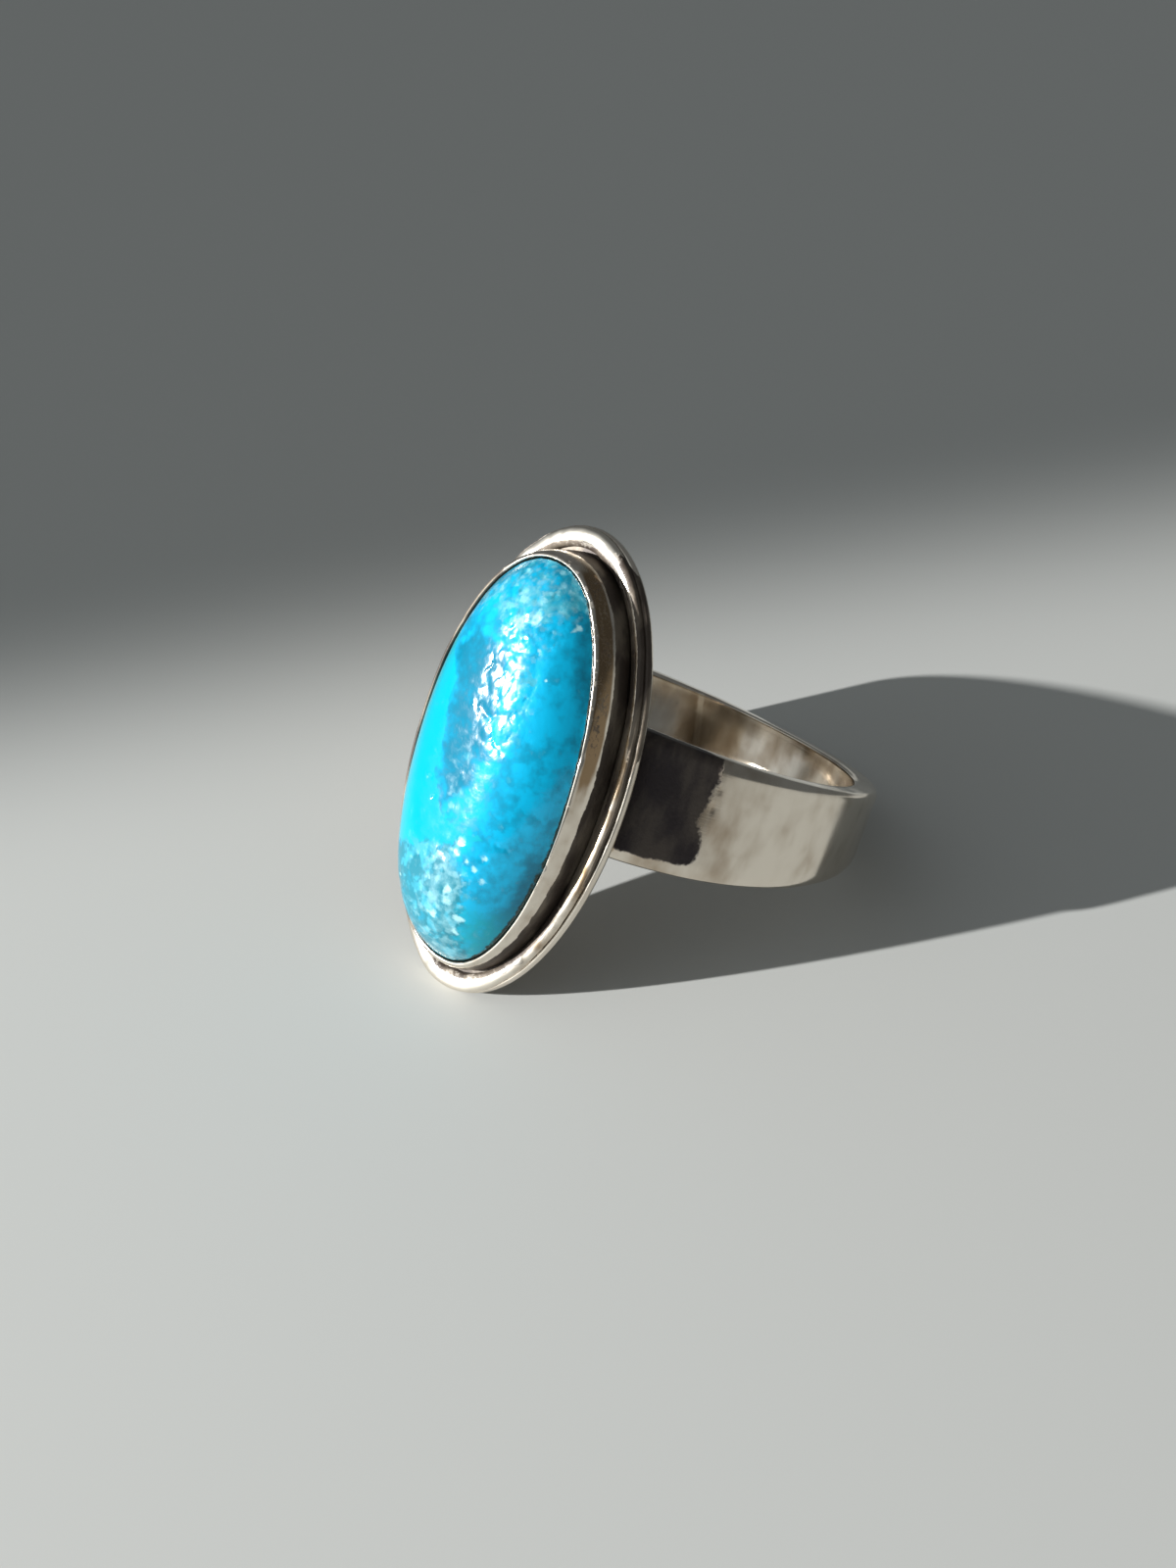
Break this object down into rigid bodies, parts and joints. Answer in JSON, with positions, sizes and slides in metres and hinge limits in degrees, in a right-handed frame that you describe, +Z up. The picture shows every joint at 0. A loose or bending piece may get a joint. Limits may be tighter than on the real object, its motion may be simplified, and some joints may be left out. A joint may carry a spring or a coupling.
{
  "type": "turquoise ring",
  "caption": "Silver finger ring with a long oval turquoise cabochon in a plain bezel, on an oval backplate with a raised rim and a tapered band.",
  "frame": {"origin": "middle of the ring's outline on the surface that it lies on", "axes": "+Z up, -Y the side that the stone faces, +Y the back of the band, X along the surface across the stone"},
  "size_m": [0.0206, 0.0252, 0.02],
  "materials": {
    "silver": "hand-finished silver, burnished edges, light wear and tarnish, darkened in the groove between bezel and rim",
    "turquoise": "polished turquoise, mottled azure, with pits and pale veins"
  },
  "bodies": {
    "root": {"silver_ring": "silver", "turquoise_stone": "turquoise"}
  },
  "joints": []
}
